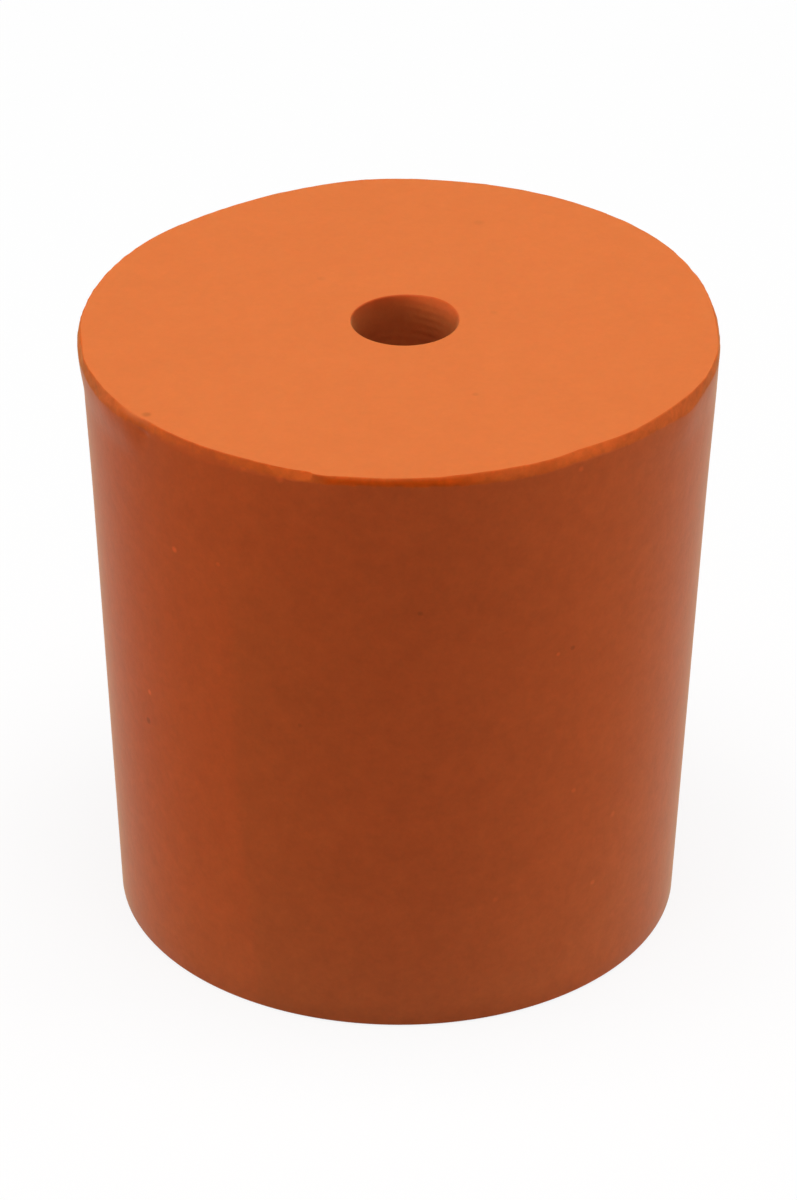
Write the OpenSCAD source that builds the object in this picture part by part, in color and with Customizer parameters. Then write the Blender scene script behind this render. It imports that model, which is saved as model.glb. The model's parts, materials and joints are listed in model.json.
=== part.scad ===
// One-hole rubber stopper: a tapered plug moulded in one piece, with a straight hole through it.
// It stands on its small end. The origin is the centre of that end, and +Z runs up the taper's
// axis to the large end. All sizes are in millimetres, and directions are in degrees about +Z,
// measured from +X towards +Y.

/* [Body] */
// Diameter of the large end, measured across its rim
large_d = 29.6; // [28:0.1:45]
// Diameter of the small end, where the tapered wall would meet the end plane
small_d = 26.8; // [12:0.1:28]
// Length from end to end, on the axis
length = 30.2; // [16:0.2:60]
// Radius of the moulded edge round the small end
foot_edge_r = 0.2; // [0.1:0.05:1]

/* [Hole] */
// Diameter of the hole, which grips a glass tube or a probe pushed through it
hole_d = 5; // [3:0.5:9]
// How far the hole runs to one side of the taper's axis
hole_offset = 0.2; // [0:0.05:1]
// Direction of that side
hole_offset_at = 45; // [0:1:360]

/* [Rim] */
// Height of the trimmed land round the large end, where the face has its mean height
land_h = 0.5; // [0.4:0.05:1]
// How far the land leans in on its way up to the face
land_lean = 0.1; // [0.05:0.05:0.25]
// How far the rim stands out from the tapered wall, where the mould's flash was trimmed off
lip_proud = 0.05; // [0.05:0.05:0.2]
// Radius of the cove that blends the wall out to the rim
cove_r = 0.3; // [0.25:0.05:0.6]
// How far out of square the large end was ground, in degrees
face_skew = 0.8; // [0:0.1:1]
// Direction of the face's high side
face_high_at = 45; // [0:1:360]

/* [Wear] */
// Direction of the broken end of the sliver torn off the rim
sliver_at = 254; // [0:1:360]
// Length of the torn place along the rim
sliver_len = 2.3; // [0.5:0.1:3]
// How far the torn place runs in from the rim at its broken end
sliver_in = 0.5; // [0.2:0.05:0.6]
// How far the torn place runs down from the face
sliver_h = 0.6; // [0.2:0.05:1]
// Angle by which the torn place turns away from the rim, so that it fades out
sliver_turn = 3; // [0:0.5:8]
// Direction of the small nick in the rim
nick_at = 216; // [0:1:360]
// Radius of the nick
nick_r = 0.35; // [0.1:0.05:0.6]
// Direction of the worn side of the hole's upper mouth
mouth_wear_at = 48; // [0:1:360]
// How far the mouth is worn back from the hole's wall on that side
mouth_wear_w = 0.1; // [0.1:0.05:0.6]
// How far down the hole's wall the wear reaches on that side
mouth_wear_h = 0.3; // [0.1:0.05:0.5]

/* [Hidden] */
$fn = 96;
rubber_colour = [0.86, 0.45, 0.25];
// Overshoot that carries a cut clear past the surface it opens
past = 1;

large_r = large_d / 2;
small_r = small_d / 2;
hole_r = hole_d / 2;
hole_x = hole_offset * cos(hole_offset_at);
hole_y = hole_offset * sin(hole_offset_at);
// The tapered wall is a straight line that would meet the face plane lip_proud inside the rim
wall_lean = (large_r - lip_proud - small_r) / length;
wall_angle = atan(wall_lean);
function wall_r(z) = small_r + z * wall_lean;

// The small end's edge arc touches the end plane and the wall, and this is its centre's radius
foot_arc_r = wall_r(foot_edge_r) - foot_edge_r / cos(wall_angle);
// The land starts here, and the cove below it touches the wall
land_z = length - land_h;
cove_z = land_z - cove_r;
cove_x = wall_r(cove_z) + cove_r / cos(wall_angle);
// The land runs on past the face plane, which the grinding cut then trims
land_lean_slope = land_lean / land_h;

// The mouth's wear is a shallow round cut whose edge leaves the hole's own edge on the far side.
// In the face plane it is a circle moved towards the wear, by a share of the wear's width.
mouth_wear_shift = 1.5 * mouth_wear_w;
mouth_wear_r = hole_r + mouth_wear_w - mouth_wear_shift;
// The ball that makes the cut passes through the wear's outer edge in the face plane, and through
// the hole's wall mouth_wear_h below it
wear_wall_x = hole_r - mouth_wear_shift;
wear_rise = (pow(mouth_wear_r, 2) - pow(wear_wall_x, 2) - pow(mouth_wear_h, 2)) / (2 * mouth_wear_h);
wear_ball_r = sqrt(pow(mouth_wear_r, 2) + pow(wear_rise, 2));

// Half of the stopper's section, with the axis at x = 0 and the land not yet ground off
module half_section() {
    difference() {
        union() {
            polygon([
                [0, 0],
                [foot_arc_r, 0],
                [foot_arc_r, foot_edge_r],
                [foot_arc_r + foot_edge_r * cos(wall_angle), foot_edge_r * (1 - sin(wall_angle))],
                [wall_r(cove_z), cove_z],
                [large_r, cove_z],
                [large_r, land_z],
                [large_r - (land_h + past) * land_lean_slope, length + past],
                [0, length + past]
            ]);
            translate([foot_arc_r, foot_edge_r])
                circle(r = foot_edge_r);
        }
        translate([cove_x, cove_z])
            circle(r = cove_r);
    }
}

// Puts a shape made on the plane z = 0 onto the large end's face, which is slightly out of square
module on_face() {
    translate([0, 0, length])
        rotate([0, 0, face_high_at])
            rotate([0, -face_skew, 0])
                rotate([0, 0, -face_high_at])
                    children();
}

// All that the grinding took off above the large end's face
module ground_off() {
    on_face()
        translate([-large_d, -large_d, 0])
            cube([2 * large_d, 2 * large_d, 3 * past]);
}

// Straight hole from end to end
module hole() {
    translate([hole_x, hole_y, -past])
        cylinder(r = hole_r, h = length + 2 * past);
}

// The worn side of the hole's upper mouth
module mouth_wear() {
    on_face()
        translate([hole_x, hole_y, 0])
            rotate([0, 0, mouth_wear_at])
                translate([mouth_wear_shift, 0, wear_rise])
                    sphere(r = wear_ball_r);
}

// A sliver torn off the rim: a flat slope down from the face, ending in a step
module torn_sliver() {
    on_face()
        rotate([0, 0, sliver_at])
            translate([large_r - sliver_in, 0, 0])
                rotate([90, 0, sliver_turn])
                    linear_extrude(height = sliver_len)
                        polygon([
                            [0, 0],
                            [sliver_in, -sliver_h],
                            [sliver_in + past, -sliver_h],
                            [sliver_in + past, past],
                            [0, past]
                        ]);
}

// A small rounded nick in the land
module rim_nick() {
    rotate([0, 0, nick_at])
        translate([large_r + nick_r / 3, 0, land_z])
            sphere(r = nick_r);
}

// The whole stopper: one moulded body, ground flat on its large end
module stopper() {
    color(rubber_colour)
        difference() {
            rotate_extrude()
                half_section();
            ground_off();
            hole();
            mouth_wear();
            torn_sliver();
            rim_nick();
        }
}

stopper();
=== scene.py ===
import json
import math

import bmesh
import bpy
from mathutils import Matrix, Vector, noise


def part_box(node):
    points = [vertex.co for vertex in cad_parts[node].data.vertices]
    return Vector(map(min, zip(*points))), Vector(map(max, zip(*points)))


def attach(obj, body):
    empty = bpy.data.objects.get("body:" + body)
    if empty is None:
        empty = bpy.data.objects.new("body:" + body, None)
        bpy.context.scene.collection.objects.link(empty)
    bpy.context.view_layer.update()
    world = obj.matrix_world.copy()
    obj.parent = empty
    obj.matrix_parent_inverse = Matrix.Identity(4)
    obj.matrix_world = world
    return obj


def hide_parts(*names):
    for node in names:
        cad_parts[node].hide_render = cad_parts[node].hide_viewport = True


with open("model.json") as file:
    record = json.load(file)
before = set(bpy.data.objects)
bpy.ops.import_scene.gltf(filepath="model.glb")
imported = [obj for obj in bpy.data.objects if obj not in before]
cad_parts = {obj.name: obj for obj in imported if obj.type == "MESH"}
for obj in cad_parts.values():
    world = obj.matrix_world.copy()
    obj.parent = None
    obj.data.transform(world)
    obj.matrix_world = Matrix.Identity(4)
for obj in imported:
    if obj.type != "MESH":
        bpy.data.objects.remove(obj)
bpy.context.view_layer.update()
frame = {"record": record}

# A one-hole rubber stopper, standing on its small end. Directions are degrees about +Z from +X
# towards +Y, and lengths are metres; MM turns a length in millimetres into metres.
MM = 0.001
BOX_LOW, BOX_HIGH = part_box("stopper")
MOUNT = {m["name"]: m for m in frame["record"]["mounts"]}

LENGTH = MOUNT["bore"]["dims"]["length_mm"] * MM
HOLE_R = MOUNT["bore"]["dims"]["r_mm"] * MM
HOLE_AT = Vector(MOUNT["bore"]["pos_m"]).xy
FACE_UP = Vector(MOUNT["large_end"]["axis"])
RIM_R = max(BOX_HIGH.x, BOX_HIGH.y, -BOX_LOW.x, -BOX_LOW.y)

# The moulded section: the tapered wall runs straight up to the rim
SMALL_R = 13.42 * MM
WALL_LEAN = (RIM_R - SMALL_R) / LENGTH
# How far the section's corners are rounded
FOOT_EDGE = 0.14 * MM
RIM_EDGE = 0.05 * MM
MOUTH_EDGE = 0.07 * MM
HOLE_FOOT_EDGE = 0.06 * MM

# The mesh is finer beside the rim, on the wall's upper part, and beside and below the hole's mouth
RIM_BAND = 1.2 * MM
UPPER_WALL = 3 * MM
MOUTH_BAND = 0.9 * MM
MOUTH_DEPTH = 3.4 * MM
STEPS_ROUND = 384
FINER_CUTS = 3
# A point this near to a surface of the section lies on it
NEAR = 0.01 * MM
# Faces that meet at more than this angle keep a crease between them
CREASE = math.radians(50)

# The hole's mouth lies this much further aside than the hole
MOUTH_ASIDE = Vector((0.05, 0.1, 0)) * MM

# How the rim was trimmed: a measure in millimetres, and humps that change it round the rim, each
# a direction, a width in degrees and an amount in millimetres
# The face's edge lies this far out from the wall's line
EDGE_OUT = -0.07
EDGE_HUMPS = [(5, 23, -0.2), (23, 7, -0.05), (68, 73, 0.13), (96, 13, 0.12), (126, 26, -0.25),
              (185, 21, 0.16), (186, 9, -0.09), (217, 3, 0.07), (242, 16, -0.12), (251, 4, 0.09),
              (257, 4, 0.13), (287, 12, -0.1), (304, 9, -0.19), (338, 13, 0.18), (350, 9, 0.12)]
# The trimmed land is this high
LAND_H = 0.62
LAND_HUMPS = [(196, 18, 0.16), (232, 16, 0.12), (266, 20, -0.17), (305, 12, -0.12),
              (332, 9, 0.22)]
# The rim stands this far out from the wall's line
PROUD = 0.08
PROUD_HUMPS = [(208, 8, 0.07), (215, 4, 0.05), (240, 12, -0.1), (258, 3, 0.05), (270, 20, -0.05),
               (287, 11, -0.05), (303, 9, -0.06), (331, 11, 0.14), (345, 10, 0.1), (4, 20, -0.09)]

# The wall swells out this much on its way up to the rim
SWELL = 0.06 * MM
# Flash left standing between two directions lifts the rim and the face's edge by this much
FLASH_PROUD = 0.13 * MM
FLASH_EDGE = 0.12 * MM

# A faint line runs down the wall in this direction, and the skin is darker in a strip beside it
FAINT_LINE = 238

# The rubber's finishes, the tint of its painted sheen and bounce light, and the tint beside the
# faint line, as linear colours
GROUND = (0.753, 0.184, 0.0485, 1)
SKIN = (0.652, 0.1, 0.0175, 1)
FRESH = (0.7, 0.125, 0.018, 1)
RAW = (0.72, 0.09, 0.004, 1)
PAINTED_SHEEN_AND_BOUNCE = (0.677, 0.148, 0.042, 1)
BORE = (0.62, 0.145, 0.036, 1)
LINE = (0, 0.09, 0.02, 1)
# The studio's white, and the grey that the floor bounces light as
WHITE = (1, 1, 1, 1)
BOUNCE = (0.42, 0.42, 0.42, 1)


def wall_r(z):
    """Radius of the tapered wall at a height."""
    return SMALL_R + z * WALL_LEAN


def fade(value, full, none):
    """1 at full, 0 at none, with a smooth change between them."""
    t = min(max((value - none) / (full - none), 0), 1)
    return t * t * (3 - 2 * t)


def bearing(co):
    """Direction of a point about the axis, in degrees from 0 to 360."""
    return math.degrees(math.atan2(co.y, co.x)) % 360


def apart(a, b):
    """Signed difference of two directions, in degrees from -180 to 180."""
    return (a - b + 180) % 360 - 180


def outward(direction):
    """Level unit vector in a direction."""
    return Vector((math.cos(math.radians(direction)), math.sin(math.radians(direction)), 0))


def hump(direction, middle, width):
    """A smooth hump round the rim, 1 at its middle and nearly 0 one and a half widths away."""
    return math.exp(-(apart(direction, middle) / width) ** 2 * 2)


# ---------------------------------------------------------------- half section and its spin

def row_spacing(r, z):
    """Distance between rows of the mesh along the section, at a place on it."""
    below = LENGTH - z
    if r < HOLE_R + NEAR:
        return 0.08 * MM if below < MOUTH_DEPTH else 1.4 * MM
    if below < NEAR:
        if r > RIM_R - RIM_BAND:
            return 0.13 * MM
        return 0.12 * MM if r < HOLE_R + MOUTH_BAND else 0.8 * MM
    if z < NEAR:
        return 1.2 * MM
    if below < RIM_BAND:
        return 0.06 * MM
    return 0.25 * MM if below < UPPER_WALL else 0.9 * MM


def half_section(bm):
    """Half of the stopper's section on the XZ plane, from the hole's foot round to its mouth."""
    # Radius, height, and how far the corner is rounded
    points = [
        (HOLE_R, 0, HOLE_FOOT_EDGE),
        (SMALL_R, 0, FOOT_EDGE),
        (wall_r(LENGTH - UPPER_WALL), LENGTH - UPPER_WALL, 0),
        (wall_r(LENGTH - RIM_BAND), LENGTH - RIM_BAND, 0),
        (RIM_R, LENGTH, RIM_EDGE),
        (RIM_R - RIM_BAND, LENGTH, 0),
        (HOLE_R + MOUTH_BAND, LENGTH, 0),
        (HOLE_R, LENGTH, MOUTH_EDGE),
        (HOLE_R, LENGTH - MOUTH_DEPTH, 0),
    ]
    corners = [bm.verts.new((r, 0, z)) for r, z, _ in points]
    for a, b in zip(corners, corners[1:] + corners[:1]):
        bm.edges.new((a, b))
    for corner, (_, _, rounding) in zip(corners, points):
        if rounding:
            bmesh.ops.bevel(bm, geom=[corner], offset=rounding, offset_type="OFFSET", segments=4,
                            profile=0.5, affect="VERTICES", material=-1)
    for e in bm.edges[:]:
        middle = (e.verts[0].co + e.verts[1].co) / 2
        cuts = round(e.calc_length() / row_spacing(middle.x, middle.z)) - 1
        if cuts > 0:
            bmesh.ops.subdivide_edges(bm, edges=[e], cuts=cuts)


def spun_body():
    """The whole body turned from its half section."""
    bm = bmesh.new()
    half_section(bm)
    bmesh.ops.spin(bm, geom=bm.verts[:] + bm.edges[:], cent=(0, 0, 0), axis=(0, 0, 1),
                   angle=2 * math.pi, steps=STEPS_ROUND, use_merge=True)
    bmesh.ops.remove_doubles(bm, verts=bm.verts[:], dist=0.0005 * MM)
    bmesh.ops.recalc_face_normals(bm, faces=bm.faces[:])
    return bm


def mask_finishes(bm):
    """Gives the points a mask for each finish and for the painted sheen and bounce light, and
    fills in those of the skin, face and hole.
    """
    ground, bored, painted_sheen_and_bounce, dark = (bm.verts.layers.float.new(name)
                                 for name in ("ground", "bored", "painted_sheen_and_bounce", "dark"))
    for name in ("land", "raw", "torn"):
        bm.verts.layers.float.new(name)
    for v in bm.verts:
        r, z, below = v.co.xy.length, v.co.z, LENGTH - v.co.z
        v[ground] = 1 if below < 0.012 * MM and r > HOLE_R + 0.02 * MM else 0
        if r < HOLE_R + NEAR and z > HOLE_FOOT_EDGE - NEAR:
            v[bored] = fade(below, 1 * MM, -0.4 * MM)
        if r > SMALL_R - 0.1 * MM:
            # Painted light: the skin is paler towards the foot as painted bounce light from the
            # floor, and on one side as painted sheen; it is also darker beside a faint line
            at = bearing(v.co)
            v[painted_sheen_and_bounce] = (0.2 + 0.75 * math.exp(-z / (6 * MM)) + 0.26 * hump(at, 308, 55)
                       + 0.35 * hump(at, 333, 24))
            line = FAINT_LINE + 3 * fade(z, 2 * MM, 12 * MM)
            v[dark] = (fade(at, line + 1.5, line - 1.5) * fade(at, line + 4, line + 36)
                       * fade(z, 20 * MM, 27 * MM))


# ---------------------------------------------------------------- wear

def refine(bm, inside):
    """Divides the faces whose middle is inside a place into a finer grid."""
    edges = dict.fromkeys(e for f in bm.faces if inside(f.calc_center_median()) for e in f.edges)
    bmesh.ops.subdivide_edges(bm, edges=list(edges), cuts=FINER_CUTS, use_grid_fill=True)


def tear_sliver(bm, at=255.1, length=2.4 * MM, deep=0.1 * MM, high=0.66 * MM):
    """A sliver torn off the rim: a shallow slope down from the face that ends in a step."""
    start = outward(at) * RIM_R + Vector((0, 0, LENGTH))
    along = outward(at - 90)
    step = 0.2 * MM

    def inside(co):
        return (-0.4 * MM < (co - start).dot(along) < length + 0.3 * MM
                and LENGTH - co.z < RIM_BAND and co.dot(outward(at)) > RIM_R - RIM_BAND)

    refine(bm, inside)
    for run in (0, step / 2, step):
        faces = [f for f in bm.faces if inside(f.calc_center_median())]
        geom = list(dict.fromkeys(x for f in faces for x in (*f.verts, *f.edges))) + faces
        bmesh.ops.bisect_plane(bm, geom=geom, plane_co=start + along * run, plane_no=along,
                               dist=0.001 * MM)
    torn = bm.verts.layers.float["torn"]
    for v in bm.verts:
        run = (v.co - start).dot(along)
        if not inside(v.co) or run < 0.02 * MM:
            continue
        # In the plane through the axis, the slope falls from the face to the wall
        depth = deep * fade(run, 0.8 * MM, length) * fade(run, step, 0)
        foot = high - 0.2 * MM * fade(run, step, 0.9 * MM)
        slope = Vector((foot, depth)).normalized()
        over = (v.co.xy.length - RIM_R + depth) * slope.x + (v.co.z - LENGTH) * slope.y
        if depth > 0.005 * MM and over > -0.002 * MM:
            rough = noise.noise(v.co / (0.2 * MM)) * 0.014 + noise.noise(v.co / (0.5 * MM)) * 0.03
            drop = max(over, 0) + rough * MM * min(max(over, 0) / (0.03 * MM), 1)
            v.co -= outward(bearing(v.co)) * slope.x * drop
            v.co.z -= slope.y * drop
            v[torn] = fade(run, 1.4 * MM, length) * fade(over, 0.03 * MM, 0)


def nick_rim(bm, at=219, below=0.66 * MM, length=1.1 * MM, high=0.62 * MM, deep=0.05 * MM):
    """A small shallow nick in the land, a smooth hollow that is longer than it is high."""
    centre = outward(at) * RIM_R + Vector((0, 0, LENGTH - below))
    refine(bm, lambda co: (co - centre).length < 0.8 * length)
    for v in bm.verts:
        away = v.co - centre
        reach = Vector((away.dot(outward(at + 90)) / length, away.z / high)).length * 2
        if away.length < length:
            v.co -= outward(at) * deep * fade(reach, 0, 1)


# ---------------------------------------------------------------- rim, face and hole as made

def round_rim(direction, base, humps):
    """A measure that varies round the rim, in metres."""
    total = sum(amount * hump(direction, middle, width) for middle, width, amount in humps)
    return (base + total) * MM


def rim_shape(direction):
    """The land's height, how far out the rim stands, and how far out the face's edge lies."""
    high = round_rim(direction, LAND_H, LAND_HUMPS)
    high += noise.noise(Vector((direction * 0.35, 3.1, 0))) * 0.05 * MM
    # Flash was left standing on one side, and it ends at the nick
    flash = fade(direction, 176, 162) * fade(direction, 212, 220)
    edge = round_rim(direction, EDGE_OUT, EDGE_HUMPS)
    edge += FLASH_EDGE * flash * fade(direction, 196, 186)
    edge += noise.noise(Vector((direction * 0.5, 7.7, 0))) * 0.015 * MM
    proud = round_rim(direction, PROUD, PROUD_HUMPS) + FLASH_PROUD * flash
    return high, max(proud, edge + 0.02 * MM, 0), edge


def rim_shift(direction, below, high, proud, edge):
    """How far out the trimmed land and the wall under it go from the wall's line."""
    up = max(1 - below / high, 0)
    # The land is rounded, and leans in by more or less
    roundness = (1.5 + 1.6 * hump(direction, 217, 8) + 1.5 * hump(direction, 268, 16)
                 - 0.3 * hump(direction, 322, 18))
    return (SWELL * fade(below, 1 * MM, 9 * MM) + (edge - proud) * up ** roundness
            + (proud - SWELL) * fade(below, high, high + 2.2 * MM))


def face_lift(co):
    """How far the face, ground slightly out of square, lies above its mean height at a point."""
    return -(FACE_UP.x * co.x + FACE_UP.y * co.y) / FACE_UP.z


def mouth_in(direction, below):
    """How far in the hole's wall is under its mouth, which is worn to a flare on one side."""
    flare = 0.45 * MM * hump(direction, 50, 62) * (1 - math.exp(-below / (0.42 * MM)))
    return flare - 0.12 * MM * hump(direction, 50, 40)


def finish_land(bm, v, co, below, high):
    """Gives a point of the land, first made at co, its masks and its ragged surface."""
    ground, land, raw, painted_sheen_and_bounce = (bm.verts.layers.float[name]
                               for name in ("ground", "land", "raw", "painted_sheen_and_bounce"))
    at = bearing(co)
    # The cut is fainter and fades more softly on one side, and rawest in front
    faint = hump(at, 231, 26)
    v[land] = fade(below, high - (0.24 + 0.3 * faint) * MM, high + 0.12 * MM) * (1 - 0.5 * faint)
    # The face's edge is worn round over the nick, in the ground face's colour
    v[ground] = 0.75 * hump(at, 216, 7) * fade(below, 0, 0.42 * MM)
    v[land] *= 1 - v[ground]
    v[raw] = v[land] * fade(at, 258, 255.5) * fade(at, 276, 290) * fade(below, 0.2 * MM, 0)
    # Painted sheen: the land is tinted paler on one side
    v[painted_sheen_and_bounce] += v[land] * 0.8 * hump(at, 207, 15)
    rough = noise.noise(co / (0.5 * MM)) * 0.035 + noise.noise(co / (0.2 * MM)) * 0.01
    v.co += outward(at) * v[land] * rough * MM


def hole_shift(co, below):
    """How far out a point of the hole's wall goes, where faint rings run round it."""
    at = bearing(co)
    ring = math.sin(2 * math.pi * below / (0.36 * MM) + 2.5 * noise.noise(co / (2 * MM)))
    depth = 0.006 * MM * max(noise.noise(co / (1.3 * MM)) + 0.3, 0)
    return (ring * depth * fade(below, 0.3 * MM, 0.1 * MM) * fade(below, 2.6 * MM, MOUTH_DEPTH)
            - mouth_in(at, below) * fade(below, 3.5 * MM, 16 * MM))


def settle(bm):
    """Moves the points to the hole's, the face's and the rim's places as made."""
    ground = bm.verts.layers.float["ground"]
    for v in bm.verts:
        co, r = v.co.copy(), v.co.xy.length
        below, at = LENGTH - co.z, bearing(co)
        # The hole lies a little to one side of the axis, and its mouth a little further
        near_hole = fade(r, HOLE_R + 0.4 * MM, HOLE_R + 6 * MM)
        v.co += Vector((HOLE_AT.x, HOLE_AT.y, 0)) * near_hole
        v.co += MOUTH_ASIDE * near_hole * fade(below, 1 * MM, 12 * MM)
        v.co.z += face_lift(co) * fade(below, 0, 4 * MM)
        if r > RIM_R - 1.4 * MM and below < 9 * MM:
            high, proud, edge = rim_shape(at)
            shift = rim_shift(at, below, high, proud, edge)
            v.co += outward(at) * shift * fade(r, RIM_R - 0.45 * MM, RIM_R - 1.3 * MM)
            if r > RIM_R - 0.35 * MM and not v[ground]:
                finish_land(bm, v, co, below, high)
        if r < HOLE_R + 0.8 * MM and below < 0.001 * MM:
            v.co -= outward(at) * mouth_in(at, 0) * fade(r, HOLE_R, HOLE_R + 0.8 * MM)
        elif r < HOLE_R + MOUTH_EDGE:
            v.co += outward(at) * hole_shift(co, below)


def stopper():
    """The stopper's one piece."""
    bm = spun_body()
    mask_finishes(bm)
    tear_sliver(bm)
    nick_rim(bm)
    settle(bm)
    bmesh.ops.recalc_face_normals(bm, faces=bm.faces[:])
    for f in bm.faces:
        f.smooth = True
    for e in bm.edges:
        e.smooth = e.calc_face_angle(0) < CREASE
    mesh = bpy.data.meshes.new("rubber_stopper")
    bm.to_mesh(mesh)
    bm.free()
    piece = bpy.data.objects.new("rubber_stopper", mesh)
    bpy.context.scene.collection.objects.link(piece)
    return piece


# ---------------------------------------------------------------- materials

class Wire:
    """A socket of a node tree that takes part in sums like an ordinary number."""

    def __init__(self, tree, socket=None):
        self.tree, self.socket = tree, socket

    def node(self, kind, settings=None, sockets=None, out=0):
        """Adds a node: first its settings, then the values or links of its sockets."""
        made = self.tree.nodes.new(kind)
        for name, value in (settings or {}).items():
            setattr(made, name, value)
        for name, value in (sockets or {}).items():
            if isinstance(value, Wire):
                self.tree.links.new(value.socket, made.inputs[name])
            else:
                made.inputs[name].default_value = value
        return Wire(self.tree, made.outputs[out] if made.outputs else None)

    def maths(self, operation, a, b=0.0):
        return self.node("ShaderNodeMath", {"operation": operation}, {0: a, 1: b})

    def __add__(self, other):
        return self.maths("ADD", self, other)

    def __sub__(self, other):
        return self.maths("SUBTRACT", self, other)

    def __rsub__(self, other):
        return self.maths("SUBTRACT", other, self)

    def __mul__(self, other):
        return self.maths("MULTIPLY", self, other)

    __radd__, __rmul__ = __add__, __mul__

    def between(self, low, high):
        """0 at low, 1 at high, with a smooth change between them."""
        return self.node("ShaderNodeMapRange", {"interpolation_type": "SMOOTHSTEP"},
                         {"Value": self, "From Min": low, "From Max": high})

    def tint(self, a, b):
        """The colour a where this mask is 0, and b where it is 1."""
        # A colour Mix takes its two colours in sockets 6 and 7 and gives its result in socket 2
        return self.node("ShaderNodeMix", {"data_type": "RGBA"}, {0: self, 6: a, 7: b}, out=2)


def new_tree(material):
    """Clears a material's or world's nodes and gives a Wire to build with."""
    material.use_nodes = True
    tree = material.node_tree
    tree.nodes.clear()
    return Wire(tree)


def grain(build, place, size, detail=2.0, rough=0.5):
    """Even noise from -1 to 1 whose grains are about a size across."""
    made = build.node("ShaderNodeTexNoise", {}, {
        "Vector": place, "Scale": 1 / size, "Detail": detail, "Roughness": rough})
    return made * 2 - 1


def on_wall(direction, z):
    """A place on the tapered wall."""
    return outward(direction) * wall_r(z) + Vector((0, 0, z))


def on_face(x, y):
    """A place on the ground face."""
    place = Vector((x, y, LENGTH))
    return place + Vector((0, 0, face_lift(place)))


# Small marks on the wall: direction, height, size, and how much lighter or darker
WALL_MARKS = [
    (225.5, 23.9 * MM, 0.22 * MM, 0.38), (215.1, 15 * MM, 0.2 * MM, 0.32),
    (235.9, 24.1 * MM, 0.17 * MM, 0.2), (300.4, 19.7 * MM, 0.15 * MM, 0.26),
    (305.6, 11.8 * MM, 0.19 * MM, 0.2), (312, 6 * MM, 0.2 * MM, 0.18),
    (316.5, 9.4 * MM, 0.2 * MM, 0.15), (289.4, 6.8 * MM, 0.2 * MM, 0.12),
    # The second mark on the next line is a painted highlight on the torn sliver
    (303.1, 29.3 * MM, 0.2 * MM, 0.2), (249, 29.5 * MM, 0.3 * MM, 0.22),
    (214, 13.3 * MM, 0.25 * MM, -0.3), (273.8, 23 * MM, 0.18 * MM, -0.2),
    (303.5, 19.8 * MM, 0.18 * MM, -0.22), (251.6, 16.5 * MM, 0.16 * MM, -0.14),
    # Next line: painted shade in the nick's hollow, then a painted highlight beside the nick
    (218.6, 29.55 * MM, 0.4 * MM, -0.05), (212.6, 29.47 * MM, 0.26 * MM, 0.14),
]
# Small marks on the ground face: x, y, size, and how much darker
FACE_MARKS = [
    (3.7 * MM, 10.16 * MM, 0.36 * MM, -0.08), (-3.75 * MM, 4.4 * MM, 0.3 * MM, -0.07),
    (3.4 * MM, -7 * MM, 0.22 * MM, -0.1), (4.3 * MM, 0.95 * MM, 0.24 * MM, -0.06),
    (-11.4 * MM, -8.82 * MM, 0.3 * MM, -0.2),
]


def marks(build, place):
    """How much lighter or darker the small marks make the rubber; a few of them are painted
    highlights and painted shade on the rim.
    """
    total = 0
    for where, settings in [(on_wall, WALL_MARKS), (on_face, FACE_MARKS)]:
        for first, second, size, amount in settings:
            away = build.node("ShaderNodeVectorMath", {"operation": "DISTANCE"},
                              {0: place, 1: where(first, second)}, out="Value")
            total = away.between(size, size * 0.25) * amount + total
    return total


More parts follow.
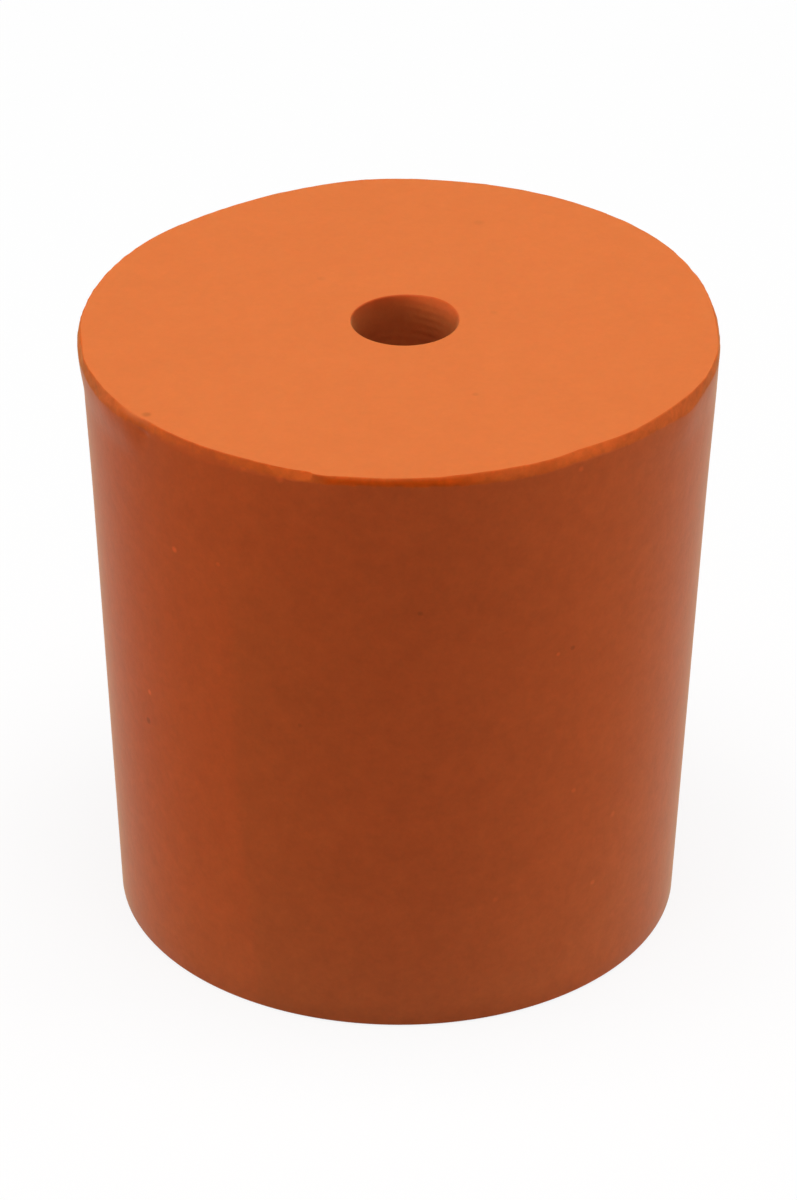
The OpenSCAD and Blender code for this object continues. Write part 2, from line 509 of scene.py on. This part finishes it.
def rubber():
    """Red-orange rubber: moulded skin, ground face, fresh trimmed and torn rubber, with painted
    sheen, painted bounce light and a few painted highlights and shade.
    """
    material = bpy.data.materials.new("red_rubber")
    build = new_tree(material)
    place = build.node("ShaderNodeTexCoord", out="Object")
    ground, land, raw, bored, torn, painted_sheen_and_bounce, dark = (
        build.node("ShaderNodeAttribute", {"attribute_name": name}, out="Fac")
        for name in ("ground", "land", "raw", "bored", "torn", "painted_sheen_and_bounce", "dark"))

    cloudy = grain(build, place, 3.2 * MM, 3)
    mottled = grain(build, place, 1.1 * MM, 3, 0.6)
    patchy = grain(build, place, 0.42 * MM, 3, 0.6)
    fine = grain(build, place, 0.16 * MM, 3, 0.6)
    # The trimming knife left the land's lower edge ragged
    land = (land + 0.35 * patchy).between(0.3, 0.7)
    fresh = build.maths("MAXIMUM", land, torn)

    # Painted sheen and painted bounce light tint the skin paler
    colour = painted_sheen_and_bounce.tint(SKIN, PAINTED_SHEEN_AND_BOUNCE)
    colour = ground.tint((0.07 * dark).tint(colour, LINE), GROUND)
    colour = (fresh * (1 - 0.6 * painted_sheen_and_bounce)).tint(colour, FRESH)
    colour = (raw * land).tint(colour, RAW)
    colour = bored.tint(colour, BORE)
    # The ground face is evener than the moulded skin
    uneven = (0.05 * cloudy + 0.1 * mottled + 0.09 * patchy + 0.06 * fine) * (1 - 0.58 * ground)
    shade = 1 + uneven + 0.17 * fresh * patchy + 0.12 * torn + marks(build, place)
    colour = build.node("ShaderNodeVectorMath", {"operation": "SCALE"},
                        {0: colour, "Scale": shade})

    rough = 0.38 + 0.47 * ground + 0.35 * fresh + 0.35 * bored
    height = 0.5 * fine + 0.5 * grain(build, place, 0.35 * MM, 2)
    relief = build.node("ShaderNodeBump", {}, {
        "Strength": 0.35, "Distance": 0.012 * MM, "Height": height})

    skin = build.node("ShaderNodeBsdfPrincipled", {}, {
        "Base Color": colour, "Roughness": rough, "Normal": relief,
        "Specular IOR Level": 0.045,
        "Sheen Weight": 0.18, "Sheen Roughness": 0.3, "Sheen Tint": (0.84, 1, 0.4, 1),
        "Subsurface Weight": 0.4, "Subsurface Radius": (1.0, 0.35, 0.2),
        "Subsurface Scale": 0.4 * MM})
    build.node("ShaderNodeOutputMaterial", {}, {"Surface": skin})
    return material


# ---------------------------------------------------------------- studio

def seen_directly(build):
    """1 for the rays that show the backdrop: straight from the camera, or by a mirror or glass."""
    camera_ray, glossy, transmitted = (
        build.node("ShaderNodeLightPath", out=name)
        for name in ("Is Camera Ray", "Is Glossy Ray", "Is Transmission Ray"))
    return build.maths("MAXIMUM", build.maths("MAXIMUM", camera_ray, glossy), transmitted)


def floor():
    """A plain white floor just under the foot, which keeps a faint shadow."""
    bm = bmesh.new()
    bmesh.ops.create_grid(bm, x_segments=1, y_segments=1, size=1.5)
    mesh = bpy.data.meshes.new("floor")
    bm.to_mesh(mesh)
    bm.free()
    piece = bpy.data.objects.new("floor", mesh)
    piece.location.z = -0.02 * MM
    bpy.context.scene.collection.objects.link(piece)
    material = bpy.data.materials.new("white_floor")
    build = new_tree(material)
    seen = seen_directly(build)
    grey = build.node("ShaderNodeBsdfDiffuse", {}, {"Color": BOUNCE})
    paper = build.node("ShaderNodeBsdfDiffuse", {}, {"Color": WHITE})
    white = build.node("ShaderNodeEmission", {}, {"Color": WHITE, "Strength": 1.0})
    backdrop = build.node("ShaderNodeMixShader", {}, {0: 0.85, 1: paper, 2: white})
    mixed = build.node("ShaderNodeMixShader", {}, {0: seen, 1: grey, 2: backdrop})
    build.node("ShaderNodeOutputMaterial", {}, {"Surface": mixed})
    mesh.materials.append(material)


def lamp(name, direction, elevation, distance, size, level):
    """A soft square lamp that lights a surface facing it; level 1 shows its colour as written."""
    light = bpy.data.lights.new(name, "AREA")
    light.shape, light.size = "SQUARE", size
    light.energy = math.pi ** 2 * distance ** 2 * level
    piece = bpy.data.objects.new(name, light)
    up = math.radians(elevation)
    towards = outward(direction) * math.cos(up) + Vector((0, 0, math.sin(up)))
    piece.location = Vector((0, 0, LENGTH / 2)) + towards * distance
    piece.rotation_euler = towards.to_track_quat("Z", "Y").to_euler()
    bpy.context.scene.collection.objects.link(piece)


def studio():
    """Soft light from above and from both sides, and a low even fill."""
    lamp("overhead", direction=270, elevation=84, distance=0.9, size=0.55, level=0.765)
    lamp("left", direction=180, elevation=12, distance=0.8, size=0.5, level=0.29)
    lamp("right", direction=5, elevation=12, distance=0.8, size=0.5, level=0.31)
    world = bpy.data.worlds.new("studio")
    bpy.context.scene.world = world
    build = new_tree(world)
    fill = build.node("ShaderNodeBackground", {}, {"Color": WHITE, "Strength": 0.2})
    white = build.node("ShaderNodeBackground", {}, {"Color": WHITE, "Strength": 1.0})
    mixed = build.node("ShaderNodeMixShader", {}, {0: seen_directly(build), 1: fill, 2: white})
    build.node("ShaderNodeOutputWorld", {}, {"Surface": mixed})


def camera():
    """The camera looks down on the large end from in front."""
    down, roll = math.radians(30.089), math.radians(0.3687)
    lens = bpy.data.cameras.new("camera")
    lens.lens, lens.sensor_width = 171.2806, 36
    lens.clip_start, lens.clip_end = 0.01, 10
    piece = bpy.data.objects.new("camera", lens)
    piece.location = Vector((-0.0186, -235.182, 151.599)) * MM
    piece.rotation_euler = (Matrix.Rotation(math.pi / 2 - down, 3, "X")
                            @ Matrix.Rotation(roll, 3, "Z")).to_euler()
    bpy.context.scene.collection.objects.link(piece)
    bpy.context.scene.camera = piece


bpy.context.scene.view_settings.view_transform = "Standard"
camera()
studio()
floor()
body = stopper()
body.data.materials.append(rubber())
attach(body, "root")
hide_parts("stopper")
